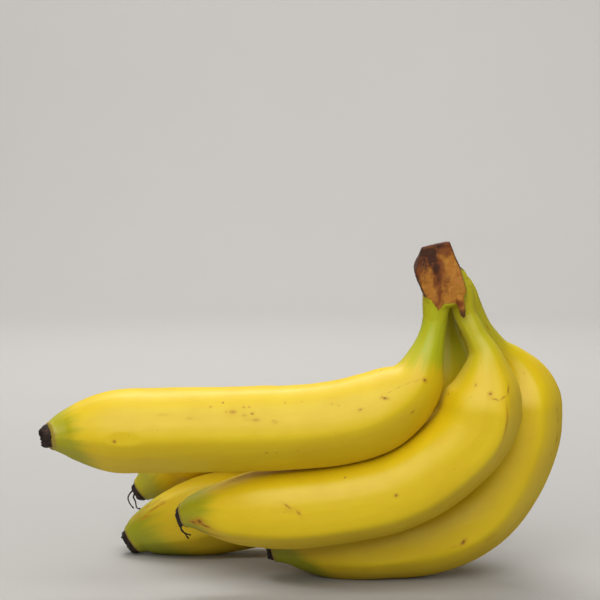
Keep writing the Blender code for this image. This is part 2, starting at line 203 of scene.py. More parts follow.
FINGERS = (
    Finger(
        name="upper_front",
        path=(
            (60.3, 0, 138), (60.2, 0, 130), (59.2, 0, 121), (56, -1, 109), (50, -3, 95.5),
            (39, -4, 87.2), (22, -5, 80.6), (0, -6, 77.6), (-44, -9, 76.8), (-83, -13, 76.6),
            (-101.2, -16.9, 75.8), (-109.2, -20.8, 74.9),
        ),
        neck=16, shoulder=52, taper=40, neck_girth=1.1, scar_girth=1.06, stub=2.4,
        ridge_turn=-9, ridges=(0.75, 0.25, 0.8, 1.0, 1.0),
        neck_green=Green(0.75, 28, 42), tip_green=Green(0.70, 5, 16), tip_reach=9,
        creases=(Crease(62, 90, 9, 60, 0.9),),
        marks=(
            Mark(138.5, 38.5, 0.7, 0.5, 0.5), Mark(132, 30.5, 0.6, 0.5, 0.45), Mark(130, 29, 0.5, 0.4, 0.4),
            Mark(124.2, 37.1, 0.6, 0.5, 0.6), Mark(121.9, 37.4, 0.5, 0.4, 0.5),
            Mark(120.5, 27.2, 0.6, 0.5, 0.8), Mark(122.5, 19, 3.6, 1.5, 0.16),
            Mark(118.5, 22, 3.0, 1.2, 0.12), Mark(111.5, 15.8, 0.5, 0.4, 0.5),
            Mark(105.8, 41.7, 0.5, 0.4, 0.45), Mark(98.2, 41.4, 0.5, 0.4, 0.35),
            Mark(114.6, -29.6, 0.6, 0.5, 0.5), Mark(110.4, -29.3, 0.5, 0.4, 0.5),
            Mark(101.4, -28.9, 0.5, 0.4, 0.4), Mark(181, -9.2, 0.7, 0.6, 0.8),
            Mark(59.5, 16, 1.4, 0.6, 0.85, 35), Mark(60.8, 20, 0.9, 0.4, 0.5, -30),
            Mark(72, 15.2, 1.0, 0.6, 0.6), Mark(41.3, -9.9, 0.6, 1.4, 0.95),
            Mark(52.4, -27.3, 0.8, 0.6, 0.6), Mark(56.2, 21.3, 1.5, 0.25, 0.4),
            Mark(51.5, 20.8, 1.5, 0.25, 0.4), Mark(46.6, 15.1, 1.5, 0.25, 0.4, 30),
            Mark(43.2, 5, 1.4, 0.25, 0.4, 50), Mark(84, 33, 0.5, 0.4, 0.4), Mark(81, 29, 0.6, 0.4, 0.35),
            Mark(129, 30, 2.2, 1.3, 0.40), Mark(119, 18, 2.6, 1.2, 0.34), Mark(159.5, 27.7, 4.0, 1.1, 0.20),
            Mark(124, 25, 1.6, 1.0, 0.30), Mark(110.5, 14, 1.8, 0.9, 0.26), Mark(148, 22, 2.4, 1.0, 0.22),
        ),
    ),
    Finger(
        name="lower_front",
        path=(
            (71.2, 4, 139), (73, 2.5, 127), (77, 1, 118.5), (81.4, 0, 109), (82.5, 0, 99),
            (81.6, 0, 89.5), (76.3, 0, 73.5), (60, 0, 57.6), (40.6, 0, 47), (21, 0, 42.6),
            (0, 0, 40), (-27, 1, 38.2), (-46, 3, 37.2), (-53.4, 4, 35.2),
        ),
        neck=23, shoulder=36, taper=52, stub=1.3,
        ridge_turn=-31, ridges=(1.0, 0.3, 1.0, 1.0, 1.0),
        neck_green=Green(0.38, 24, 44), tip_green=Green(0.75, 5, 18), tip_side=60, tip_reach=4,
        strands=(
            ((0.8, 0.0, 3.0), (1.8, 0.8, -0.5), (1.9, 1.0, -2.0), (1.6, 1.0, -4.4), (1.0, 1.0, -6.6),
             (0.2, 1.0, -8.4), (-0.6, 1.0, -10.8)),
            ((1.0, 1.2, -3.6), (1.2, 1.6, -6.2), (-0.4, 2.0, -8.0), (-2.4, 2.2, -9.2)),
        ),
        creases=(Crease(31, 35, 2.8, 45, 0.55), Crease(39, 20, 6, 50, -0.4)),
        marks=(
            Mark(45.4, 23.1, 0.7, 0.5, 0.6), Mark(48.6, -3.3, 1.0, 0.7, 0.85, 80),
            Mark(112.2, 4, 0.8, 0.7, 0.8), Mark(35.2, 18.8, 0.6, 0.4, 0.35),
            Mark(51.5, 24.5, 0.5, 0.5, 0.3), Mark(50.5, -11.6, 2.6, 0.35, 0.5, 93),
            Mark(49.4, -24, 2.0, 0.35, 0.5, 60), Mark(46.8, -34, 1.9, 0.5, 0.75, 35),
            Mark(58, -31.5, 9.0, 0.7, 0.45, -8), Mark(160, 14, 2.4, 0.7, 0.55, 40),
            Mark(155.5, 4, 2.0, 0.8, 0.45, 60), Mark(159, 9, 4.5, 2.6, 0.2),
            Mark(202.5, -21, 2.4, 1.2, 0.95, 55), Mark(199, -15, 2.6, 1.6, 0.95, 75),
            Mark(196.5, -24, 3.0, 1.0, 0.9, 20), Mark(200, -19, 4.5, 2.8, 0.55, 30),
            # The two long, narrow marks on the next line are painted shade: dark lines along the lower ridge
            # near the tip, where the fruit is shaded from above
            Mark(197, -50, 9.0, 1.0, 0.5, -10), Mark(186, -60, 8.0, 0.9, 0.35, -10),
        ),
    ),
    Finger(
        name="bottom",
        path=(
            (71.8, 16.5, 140), (76.6, 17, 129.6), (81.6, 19, 119), (89, 24, 110), (96.5, 28.5, 103),
            (101.5, 31.5, 93), (102.5, 32, 81), (100.7, 31, 65.5), (92.8, 29.5, 47), (80.2, 28.5, 31.5),
            (60, 28.5, 22.2), (37, 28.5, 19.6), (15, 28.5, 17.9), (-4, 28.5, 16.4), (-13.5, 28.5, 13.9),
        ),
        neck=38, shoulder=34, taper=50, stub=1.6,
        ridge_turn=-24, ridges=(0.9, 0.8, 1.0, 1.0, 1.0),
        neck_green=Green(0.38, 28, 56), tip_green=Green(0.85, 8, 20),
        marks=(
            Mark(23.5, -32.4, 1.7, 1.0, 0.8), Mark(136.9, -15.5, 1.4, 0.7, 0.85, -25),
            Mark(141, -17, 3.0, 0.8, 0.2), Mark(71.5, -57, 1.6, 0.5, 0.6), Mark(76, -62, 1.2, 0.4, 0.55),
            Mark(83, -66, 1.6, 0.6, 0.6), Mark(88, -58, 1.0, 0.5, 0.4), Mark(127, -33, 4.0, 2.2, 0.2),
            Mark(52, -12, 0.7, 0.5, 0.35),
        ),
    ),
    Finger(
        name="lower_back",
        path=(
            (71.6, 37, 139), (71.8, 39, 127), (73.5, 45.5, 114), (77, 55, 103), (80.5, 63, 92),
            (81.5, 67.5, 79), (77, 69, 63), (61, 71, 48), (39, 75, 38.5), (0, 80, 29),
            (-35, 79.5, 23.2), (-60.5, 79, 17.3), (-77, 80, 11.6), (-83.3, 80, 7.6),
        ),
        neck=24, shoulder=36, taper=47, girth=1.06, scar_girth=1.42, stub=2.4,
        ridge_turn=-20, ridges=(1.0, 0.8, 1.0, 0.7, 1.0),
        neck_green=Green(0.45, 30, 56), tip_green=Green(0.85, 8, 26),
        marks=(
            Mark(251, 60, 4.0, 2.0, 0.5), Mark(246, 68, 3.0, 1.6, 0.55, 20),
            Mark(241, 62, 3.5, 1.0, 0.45, -20), Mark(253.5, 80, 2.0, 2.0, 0.5),
            Mark(238, 48, 1.6, 0.8, 0.4), Mark(247, 45, 1.2, 0.6, 0.5), Mark(248, 42, 5.0, 1.1, 0.45, 20),
            Mark(242, 48, 4.5, 0.9, 0.5, -5), Mark(238, 52, 3.0, 1.3, 0.35, 30),
            Mark(150, -100, 5.0, 2.5, 0.3), Mark(95, -120, 1.4, 0.9, 0.6), Mark(178, 160, 2.0, 1.0, 0.4),
        ),
    ),
    Finger(
        name="upper_back",
        path=(
            (64.4, 25, 139), (66, 26, 125), (67, 27.5, 116), (67.2, 28.5, 106), (65, 30.5, 96),
            (58, 34, 86.5), (44, 40, 78.5), (23, 50, 71.5), (0, 62, 67.8), (-25, 77.5, 66),
            (-45, 93, 59.3), (-62, 101.8, 46.4), (-72.5, 104.5, 34.6), (-81.2, 105.5, 27.8),
        ),
        neck=18, shoulder=35, taper=50, girth=0.99, scar_girth=1.15, stub=2.4,
        ridge_turn=16, ridges=(0.9, 0.7, 1.0, 1.0, 0.8),
        neck_green=Green(0.55, 32, 50), tip_green=Green(0.60, 5, 18), tip_side=60, tip_reach=6,
        strands=(
            ((1.5, 0.6, 2.1), (3.6, 1.0, 2.5), (6.8, 1.0, 1.2), (8.0, 1.0, -1.6), (8.0, 1.0, -5.0)),
            ((1.7, 0.6, 0.6), (4.2, 1.2, 0.0), (4.9, 1.4, -2.5), (6.4, 1.2, -5.8), (5.2, 1.2, -7.3)),
        ),
        marks=(
            Mark(90, 130, 1.2, 0.8, 0.6), Mark(118, 95, 2.4, 0.6, 0.4, 20), Mark(150, 170, 0.9, 0.7, 0.6),
            Mark(75, 60, 0.8, 0.6, 0.5),
        ),
    ),
)

# The crown's front in mm, as X and Z, clockwise from its lower left, and its driving dimensions
CROWN_OUTLINE = (
    (53.6, 134.7), (52.1, 139.6), (50.0, 145.5), (50.6, 154.3), (53.3, 156.3),
    (59.3, 157.9), (65.4, 158.9), (68.1, 153.6), (70.7, 146.4), (73.2, 136.9),
    (72.0, 131.0), (66.0, 131.2), (60.8, 128.7), (56.0, 131.4),
)
CROWN_FRONT = -7.0 * MM
CROWN_BACK = 45.0 * MM
CROWN_SLANT = 3.0 * MM
CROWN_FRONT_LEAN = 0.10
CROWN_BACK_LEAN = 0.30
CROWN_TUCK = 0.03
CROWN_TUCK_SHARE = 0.1
CROWN_DROP = 0.28
CROWN_MIDDLE = Vector((62.0, 0.0, 143.5)) * MM
CROWN_SHARES = (0.0, 0.03, 0.1, 0.28, 0.5, 0.72, 0.9, 0.97, 1.0)

# Places on the crown in mm, as drawn: where its flank begins on the right and behind the front, where its
# surface grows uneven towards the back, where the second cut face begins, and where the first turns under
FLANK_X = 65.0
FLANK_Y = -4.0
UNEVEN_Y = 1.0
BACK_CUT_Y = 36.0
BACK_CUT_Z = 132.0
TURNED_UNDER_Z = 133.5

# Where the crown's surface is evened out, in mm, as drawn: round the necks between two heights, on its flank,
# and everywhere towards the back
EVEN_LOW_Z = 124.0
EVEN_HIGH_Z = 136.0
EVEN_FLANK_X = 66.0
EVEN_FLANK_Y = -3.0
EVEN_BACK_Y = 3.0

# How long the crown's waves, ripples, swells and pits are in mm, and the rough spots of its skin's edge
WAVE_LENGTH = 8.0
RIPPLE_LENGTH = 2.8
SWELL_LENGTHS = (14.0, 8.0, 14.0)
PIT_LENGTHS = (1.6, 1.6, 0.7)
ROUGH_LENGTH = 3.0
FINE_ROUGH_LENGTH = 1.2

# How far along a neck in mm its nearness to the crown's skin is measured
NECK_SAMPLES = (4, 9, 14, 19)

# How far the crown's foot draws back to meet the necks, and the sleeves by which it runs out over them, each
# as pairs of the distance from the crown and the thickness over the neck in mm
FOOT_RECESS = 2.0 * MM
FOOT_TOP = 138.0 * MM
FOOT_HEIGHT = 7.0 * MM
COLLAR_START = -8.0 * MM
COLLAR_END = 20.0 * MM
COLLAR = (
    (-8.0, -3.0), (-6.5, -1.9), (0.0, 0.1), (3.0, 0.6), (6.0, 0.8), (9.0, 0.6), (13.0, 0.1), (20.0, -0.5),
)

# The short dry spur under the crown's front, in mm, how thick it is along its length, and above which height
# it is paler
SPUR_PATH = ((69.6, -4.2, 135.2), (70.5, -5.6, 131.6), (71.3, -6.1, 128.2), (71.9, -5.9, 125.2))
SPUR_RADIUS = ((0.0, 2.4), (0.4, 1.8), (0.75, 1.25), (0.88, 1.05), (0.95, 0.75), (1.0, 0.3))
SPUR_PALE_Z = 127.0

# Where the brown of the crown's front ends over the green necks, as X and Z in mm, and how high that edge
# is on its flank, with the height and length of its waves there
BROWN_EDGE = (
    (49.0, 139.0), (53.3, 137.0), (54.3, 134.8), (57.4, 133.0), (60.5, 128.7),
    (63.6, 131.4), (66.6, 131.7), (69.7, 131.0), (76.0, 131.0),
)
FLANK_EDGE = 146.5
EDGE_WAVE_HEIGHT = 3.0
EDGE_WAVE_LENGTH = 10.0

# Where the cut front is redder, and where sap dried dark on it: X, Z, half width and half height in mm, and
# how strongly. Last, how far such a patch reaches in
CROWN_RUST = (
    (55.0, 152.5, 7.5, 6.0, 1.0), (63.0, 155.5, 6.5, 3.8, 0.95), (51.0, 147.5, 3.2, 6.5, 1.0),
    (59.8, 147.5, 3.2, 5.0, 1.0), (60.4, 142.0, 2.4, 5.5, 0.95), (61.0, 137.0, 2.2, 5.0, 0.7),
    (63.8, 143.0, 2.6, 4.5, 0.5), (63.0, 138.5, 2.4, 4.0, 0.45), (60.8, 131.5, 2.6, 3.0, 0.55),
    (69.8, 131.5, 2.0, 2.2, 0.7), (53.5, 144.0, 3.0, 5.0, 0.45),
)
CROWN_STAINS = (
    (52.4, 154.0, 4.0, 2.8, 0.95), (56.6, 153.8, 4.6, 2.8, 0.9), (57.6, 150.6, 2.6, 3.0, 0.95),
    (59.5, 147.0, 1.9, 2.8, 0.75), (54.4, 149.0, 1.8, 3.8, 0.65), (60.5, 156.8, 5.0, 1.6, 0.6),
    (50.2, 148.5, 1.6, 6.0, 0.85), (60.6, 142.8, 1.0, 3.0, 0.45), (51.0, 139.5, 1.8, 4.5, 0.95),
    (52.5, 150.0, 3.0, 4.0, 0.5),
)
PATCH_DEPTH = 9 * MM

# Between which heights in mm the dark rim of the cut faces sets in
RIM_STAIN = (135.0, 139.0)

# The dried remains on a tip: how many mm they sit in it and are taller than the solid's, the share of their
# outline that climbs the wall, how wide the rim is, and how deep the dish inside it
STUB_SUNK = 0.4
STUB_TALLER = 0.25
STUB_WALL = 0.45
STUB_RIM = 0.70
STUB_DISH = 0.35

# How thick a dried strand is along its length, in strand radii
STRAND = ((0.0, 1.5), (0.12, 1.0), (0.6, 0.75), (0.88, 0.7), (0.95, 1.1), (1.0, 0.5))

# The stage in metres: a round floor and the sweep by which it turns up into a wall
FLOOR_RADIUS = 1.5
FLOOR_SIDES = 96
SWEEP_RADIUS = 0.8
SWEEP_STEPS = 16
WALL_TOP = 2.6


class Light(NamedTuple):
    """A square soft light: where it is seen from its target in degrees, with azimuth 0 on the camera's side
    and 90 on the right, and how far away, its size and its target, in metres."""

    azimuth: float
    elevation: float
    distance: float
    size: float
    target: tuple = (0.0, 0.0, 0.08)


LIGHTS = {
    "key": Light(-6, 42, 1.4, 1.4),
    "top": Light(180, 76, 1.3, 0.9),
    "rim": Light(-135, 45, 1.4, 1.2),
    "wall": Light(0, 55, 1.6, 1.2, (0.0, 2.0, 0.4)),
}


def smooth(t):
    """Eases from 0 to 1 without a corner at either end."""
    t = min(max(t, 0.0), 1.0)
    return t * t * (3.0 - 2.0 * t)


def along(profile, t):
    """The value at t of a profile of (place, value) pairs, in straight runs between them."""
    for (start, low), (end, high) in zip(profile, profile[1:]):
        if t <= end:
            return low + (high - low) * (max(t, start) - start) / (end - start)
    return profile[-1][1]


def stretched(place, lengths):
    """The place in units of a length along each axis."""
    return Vector([coordinate / length for coordinate, length in zip(place, lengths)])


def smooth_route(points):
    """A fine run of points on the smooth curve through the given ones, with even handles at each."""
    arriving, leaving = [], []
    for i, point in enumerate(points):
        before = points[max(i - 1, 0)]
        after = points[min(i + 1, len(points) - 1)]
        way = (after - before).normalized()
        arriving.append(point - way * (point - before).length / 3)
        leaving.append(point + way * (after - point).length / 3)
    route = [points[0]]
    for i in range(len(points) - 1):
        bend = (points[i], leaving[i], arriving[i + 1], points[i + 1])
        route.extend(interpolate_bezier(*bend, CURVE_STEPS)[1:])
    return route


class Centreline:
    """A smooth curve in the frame, through points drawn in mm, that can be read at any distance along it."""

    def __init__(self, points):
        self.route = smooth_route([Vector(p) * MM + DRAWING_SHIFT for p in points])
        self.reach = [0.0]
        for a, b in zip(self.route, self.route[1:]):
            self.reach.append(self.reach[-1] + (b - a).length)
        self.length = self.reach[-1]

    def at(self, distance):
        """The point at this distance, past the ends in a straight line."""
        i = 0
        while i < len(self.route) - 2 and self.reach[i + 1] < distance:
            i += 1
        share = (distance - self.reach[i]) / (self.reach[i + 1] - self.reach[i])
        return self.route[i].lerp(self.route[i + 1], share)

    def way(self, distance):
        """The direction of the curve at this distance."""
        low = max(distance - WAY_REACH, 0.0)
        high = min(distance + WAY_REACH, self.length)
        return (self.at(high) - self.at(low)).normalized()

    def axes(self, distance):
        """The curve's direction, and across it the ways to the cluster's front and to its inner side."""
        way = self.way(distance)
        front = Vector((0, -1, 0))
        front = (front - way * front.dot(way)).normalized()
        return way, front, way.cross(front)


LINES = {finger.name: Centreline(finger.path) for finger in FINGERS}


class Ring(NamedTuple):
    """What a finger's surface needs to know at one distance from the crown."""

    distance: float
    centre: Vector
    front: Vector
    inner: Vector
    girth: float
    fullness: float

    def out(self, angle):
        """The way out of the ring at this angle, from the front round to the inner side."""
        return self.front * math.cos(angle) + self.inner * math.sin(angle)


def ring_at(finger, distance):
    """The finger's ring at a distance from the crown: slim neck, shoulder, full body, tapered end."""
    line = LINES[finger.name]
    neck = NECK_RADIUS * finger.neck_girth
    full = FINGER_RADIUS * finger.girth
    scar = BLOSSOM_RADIUS * finger.scar_girth
    shoulder = smooth((distance / MM - finger.neck) / finger.shoulder)
    narrowed = 1 - min(max(line.length - distance, 0) / (finger.taper * MM), 1)
    girth = min(neck + (full - neck) * shoulder, scar + (full - scar) * (1 - narrowed ** TAPER_POWER))
    fullness = smooth((girth - NECK_RADIUS) / (FINGER_RADIUS - NECK_RADIUS))
    _, front, inner = line.axes(distance)
    return Ring(distance, line.at(distance), front, inner, girth, fullness)


def ridge_height(angle, rounding=0.11):
    """1 on a ridge and 0 in the middle of a facet, as on a five-sided section with rounded corners."""
    half_facet = math.pi / RIDGES
    off = abs(angle % (2 * half_facet) - half_facet) / half_facet
    lowest = 1 - (math.hypot(1, rounding) - rounding)
    rounded = 1 - (math.hypot(1 - off, rounding) - rounding)
    return ((rounded - lowest) / (1 - lowest)) ** 2


def tube(sides, rings):
    """An upright closed tube of radius 1 and height 1 with evenly spaced rings, as a bmesh."""
    bm = bmesh.new()
    bmesh.ops.create_cone(bm, cap_ends=True, segments=sides, radius1=1, radius2=1, depth=1)
    bmesh.ops.translate(bm, verts=bm.verts, vec=(0, 0, 0.5))
    upright = [e for e in bm.edges if abs(e.verts[0].co.z - e.verts[1].co.z) > 0.5]
    bmesh.ops.subdivide_edges(bm, edges=upright, cuts=rings - 2, use_grid_fill=True)
    bmesh.ops.poke(bm, faces=[f for f in bm.faces if len(f.verts) > 4])
    return bm


def on_axis(vert):
    """Whether this is the middle vertex of one of a new tube's caps."""
    return vert.co.xy.length < 0.5


def turn_of(vert):
    """Where round a new tube this vertex is."""
    return math.atan2(vert.co.y, vert.co.x)


def drawn_place(place):
    """A place in the frame on the axes and in the mm that the centrelines and the crown are drawn in."""
    return (place - DRAWING_SHIFT) / MM


def bent_tube(points, sides, rings, radius_at):
    """A closed tube along the smooth curve through the points, its radius read at shares of its length."""
    line = Centreline(points)
    reach = [line.length * i / (rings - 1) for i in range(rings)]
    places = [(line.at(distance), *line.axes(distance)) for distance in reach]
    bm = tube(sides, rings)
    for vert in bm.verts:
        share = vert.co.z
        centre, _, front, inner = places[round(share * (rings - 1))]
        vert.co = centre + (front * vert.co.x + inner * vert.co.y) * radius_at(share)
    return bm


def joined(meshes):
    """One bmesh of several, which are freed."""
    whole = bmesh.new()
    for bm in meshes:
        mesh = bpy.data.meshes.new("part")
        bm.to_mesh(mesh)
        bm.free()
        whole.from_mesh(mesh)
        bpy.data.meshes.remove(mesh)
    return whole


def grown_together(bm, voxel):
    """The outer skin of overlapping closed shapes as one even bmesh."""
    mesh = bpy.data.meshes.new("part")
    bm.to_mesh(mesh)
    bm.free()
    obj = bpy.data.objects.new("part", mesh)
    bpy.context.scene.collection.objects.link(obj)
    remesh = obj.modifiers.new("Remesh", "REMESH")
    remesh.mode = "VOXEL"
    remesh.voxel_size = voxel
    skin = bmesh.new()
    skin.from_object(obj, bpy.context.evaluated_depsgraph_get())
    bpy.data.objects.remove(obj)
    bpy.data.meshes.remove(mesh)
    return skin


def even_out(bm, verts, times):
    """Smooths the vertices a number of times."""
    for _ in range(times):
        bmesh.ops.smooth_vert(bm, verts=verts, factor=0.5, use_axis_x=True, use_axis_y=True, use_axis_z=True)


def keep_inside(bm, low, high):
    """Presses the few points that stand out of a box flat against its sides."""
    for vert in bm.verts:
        vert.co = Vector(min(max(c, a), b) for c, a, b in zip(vert.co, low, high))


def new_piece(name, bm, node, finish):
    """Turns a bmesh into a smooth-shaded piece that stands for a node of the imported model."""
    mesh = bpy.data.meshes.new(name)
    bm.to_mesh(mesh)
    bm.free()
    mesh.shade_smooth()
    mesh.materials.append(finish)
    piece = bpy.data.objects.new(name, mesh)
    bpy.context.scene.collection.objects.link(piece)
    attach(piece, "root")
    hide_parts(node)


class Finish:
    """A procedural material in the making, with short calls for the nodes that its colours come from."""

    def __init__(self, name, **fixed):
        self.material = bpy.data.materials.new(name)
        self.material.use_nodes = True
        self.tree = self.material.node_tree
        self.shader = self.tree.nodes["Principled BSDF"]
        for socket, value in fixed.items():
            self.shader.inputs[socket.replace("_", " ")].default_value = value

    def feed(self, socket, value):
        """Links an output to the socket, or sets a number, vector or colour on it."""
        if isinstance(value, bpy.types.NodeSocket):
            self.tree.links.new(value, socket)
        else:
            socket.default_value = (*value, 1.0) if isinstance(value, Color) else value

    def add(self, kind, values, **settings):
        """Adds a node with the given settings and feeds its inputs, by name or number."""
        node = self.tree.nodes.new(kind)
        for name, value in settings.items():
            setattr(node, name, value)
        for socket, value in values.items():
            self.feed(node.inputs[socket], value)
        return node

    def number(self, operation, a, b=0.0):
        """The result of one operation on two numbers."""
        return self.add("ShaderNodeMath", {0: a, 1: b}, operation=operation).outputs[0]

    def total(self, *values):
        """The sum of several numbers."""
        result = values[0]
        for value in values[1:]:
            result = self.number("ADD", result, value)
        return result

    def times(self, a, b):
        """The product of two numbers."""
        return self.number("MULTIPLY", a, b)

    def vector(self, operation, a, b=(0, 0, 0)):
        """The result of one operation on two vectors."""
        node = self.add("ShaderNodeVectorMath", {0: a, 1: b}, operation=operation)
        return node.outputs["Value" if operation in ("LENGTH", "DOT_PRODUCT") else "Vector"]

    def fade(self, value, start, end):
        """Goes smoothly from 0 at start to 1 at end, which may be the lower of the two."""
        ends = {"Value": value, "From Min": start, "From Max": end}
        return self.add("ShaderNodeMapRange", ends, interpolation_type="SMOOTHSTEP").outputs["Result"]

    def mix(self, share, a, b):
        """A colour between two others."""
        return self.add("ShaderNodeMix", {0: share, 6: a, 7: b}, data_type="RGBA").outputs[2]

    def tint(self, base, shade, value, start, end, strength=1.0):
        """A colour turned towards a shade as a value goes from start to end, by this strength at most."""
        return self.mix(self.times(self.fade(value, start, end), strength), base, shade)

    def noise(self, place, scale, detail=3.0, roughness=0.55, output="Fac"):
        """A cloudy value round 0.5 with features of 1 / scale metres."""
        values = {"Vector": place, "Scale": scale, "Detail": detail, "Roughness": roughness}
        return self.add("ShaderNodeTexNoise", values).outputs[output]

    def wander(self, value, source, reach):
        """The value moved by up to half the reach either way, as a noise source says."""
        return self.total(value, self.times(self.number("SUBTRACT", source, 0.5), reach))

    def ragged(self, place, scale, reach):
        """The place shaken by fine noise, which frays the edges of what is drawn with it."""
        shake = self.vector("SUBTRACT", self.noise(place, scale, detail=4, output="Color"), (0.5, 0.5, 0.5))
        return self.vector("ADD", place, self.vector("MULTIPLY", shake, (reach, reach, reach)))

    def attribute(self, name, output="Fac"):
        """A number, or with the output "Vector" a place, that the piece's own vertices carry."""
        return self.add("ShaderNodeAttribute", {}, attribute_name=name).outputs[output]

    def here(self, place, centre, halves, turned=(0, 0, 0)):
        """How far a place is from the middle of an oval one, where 1 is its edge."""
        values = {"Vector": place, "Location": centre, "Rotation": turned, "Scale": halves}
        return self.vector("LENGTH", self.add("ShaderNodeMapping", values, vector_type="TEXTURE").outputs[0])

    def paint(self, base, roughness):
        """Feeds the shader's colour and roughness."""
        self.feed(self.shader.inputs["Base Color"], base)
        self.feed(self.shader.inputs["Roughness"], roughness)

    def relief(self, height, distance, strength):
        """Feeds the shader's normal from a height."""
        values = {"Height": height, "Distance": distance, "Strength": strength}
        self.feed(self.shader.inputs["Normal"], self.add("ShaderNodeBump", values).outputs["Normal"])


def shade_property(name, description, default):
    """A property that holds a colour."""
    return FloatVectorProperty(
        name=name, description=description, subtype="COLOR", min=0, max=1, default=default,
    )


def share_property(name, description, default, high=1.0):
    """A property that holds a share."""
    return FloatProperty(
        name=name, description=description, subtype="FACTOR", min=0, max=high, default=default,
    )


def length_property(name, description, default, low, high):
    """A property that holds a length."""
    return FloatProperty(
        name=name, description=description, unit="LENGTH", min=low, max=high, default=default,
    )


def power_property(name, place, default):
    """A property that holds the power of a light."""
    description = f"Power of the light {place}, in watts"
    return FloatProperty(name=name, description=description, unit="POWER", min=0, default=default)


class PeelSettings(bpy.types.PropertyGroup):
    """The look of the peel."""

    ripe: shade_property("Ripe yellow", "Main colour of the ripe peel", (0.68, 0.485, 0.004))
    warm: shade_property("Warm yellow", "Deeper colour of the peel's soft mottles", (0.63, 0.42, 0.002))
    green: shade_property("Green", "Colour of the unripe neck", (0.34, 0.41, 0.004))
    tip_green: shade_property("Tip green", "Colour of the unripe blossom end", (0.24, 0.28, 0.004))
    olive: shade_property("Olive", "Colour of the skin right under the crown", (0.36, 0.31, 0.018))
    lip: shade_property("Lip", "Colour of the dry edge of the peel round the tip", (0.28, 0.17, 0.03))
    scuff: shade_property("Scuff", "Colour of the pale brown round a fleck", (0.44, 0.215, 0.004))
    # The bruise colour also fills the cores of the painted shade lines along one fruit's lower ridge
    bruise: shade_property("Bruise", "Colour of the middle of a fleck or bruise", (0.13, 0.045, 0.004))
    roughness: share_property("Roughness", "How dull the waxy peel is", 0.44)
    ridge_relief: share_property("Ridge relief", "Height of the ridges as a share of the radius", 0.085, 0.2)
    dent_depth: length_property("Dent depth", "Depth of the fruit's soft unevenness", 0.4 * MM, 0, 2 * MM)


class CrownSettings(bpy.types.PropertyGroup):
    """The look of the crown."""

    cut: shade_property("Cut face", "Colour of the dried cut face", (0.39, 0.16, 0.017))
    deep_cut: shade_property("Deep cut", "Deeper colour of the cut face's soft mottles", (0.31, 0.105, 0.014))
    fibre: shade_property("Fibres", "Colour of the pale fibres in the cut face", (0.50, 0.23, 0.04))
    rust: shade_property("Rust", "Colour of the redder patches on the cut face", (0.15, 0.036, 0.006))
    stain: shade_property("Stain", "Colour of dark dried sap", (0.036, 0.011, 0.005))
    bark: shade_property("Bark", "Colour of the dried skin", (0.060, 0.022, 0.009))
    pale_bark: shade_property("Pale bark", "Paler colour of the dried skin's mottles", (0.13, 0.055, 0.018))
    drying: shade_property("Drying skin", "Colour of the green skin's edge at the bark", (0.20, 0.105, 0.016))
    fibre_depth: length_property("Fibre depth", "Depth of the face's fibres and pits", 0.22 * MM, 0, 1 * MM)


class BlossomSettings(bpy.types.PropertyGroup):
    """The look of the dried flower remains."""

    brown: shade_property("Brown", "Colour of the withered remains", (0.016, 0.008, 0.005))
    worn: shade_property("Worn edge", "Colour of the worn, paler edges", (0.075, 0.036, 0.018))
    strand_radius: length_property("Strand radius", "Radius of a dried strand", 0.45 * MM, 0.1 * MM, 1 * MM)


class StageSettings(bpy.types.PropertyGroup):
    """The floor and the lights."""

    floor: shade_property("Floor", "Colour of the plain floor", (0.40, 0.388, 0.37))
    key: power_property("Key light", "in front", 23)
    top: power_property("Top light", "above", 6.5)
    rim: power_property("Rim light", "behind", 3)
    wall: power_property("Wall light", "on the wall", 37)
    sky: FloatProperty(name="Sky", description="Strength of the light from all round", min=0, default=0.09)
    sky_colour: shade_property("Sky colour", "Colour of the light from all round", (0.95, 0.97, 1.0))


def unevenness(finger, seed, ring, angle, place, depth):
    """How far the peel stands out at a place of the straightened fruit, by its soft dents and its creases."""
    lumps = noise.noise(seed + place / DENT_LENGTH) * (0.3 + 0.7 * ring.fullness)
    lumps += 0.12 * noise.noise(seed + place / LUMP_LENGTH)
    swell = depth * (lumps + 0.22 * noise.noise(seed + stretched(place, STRIP_LENGTHS)))
    for crease in finger.creases:
        off_along = (ring.distance / MM - crease.along) / crease.half_length
        off_around = math.degrees(math.remainder(angle - math.radians(crease.around), 2 * math.pi))
        swell -= crease.depth * MM * math.exp(-off_along ** 2 - (off_around / crease.half_turn) ** 2)
    return swell


def end_relief(from_crown, from_tip):
    """How far the peel stands out near its ends: a rim that turns in at the tip, and a start that is sunk."""
    rim = RIM_HEIGHT * math.exp(-((from_tip - RIM_FROM_TIP) / RIM_HALF_WIDTH) ** 2)
    rim -= END_TURNED_IN * (1 - smooth(from_tip / END_TURNED_IN))
    return rim - START_SUNK * (1 - smooth(from_crown / START_LENGTH))


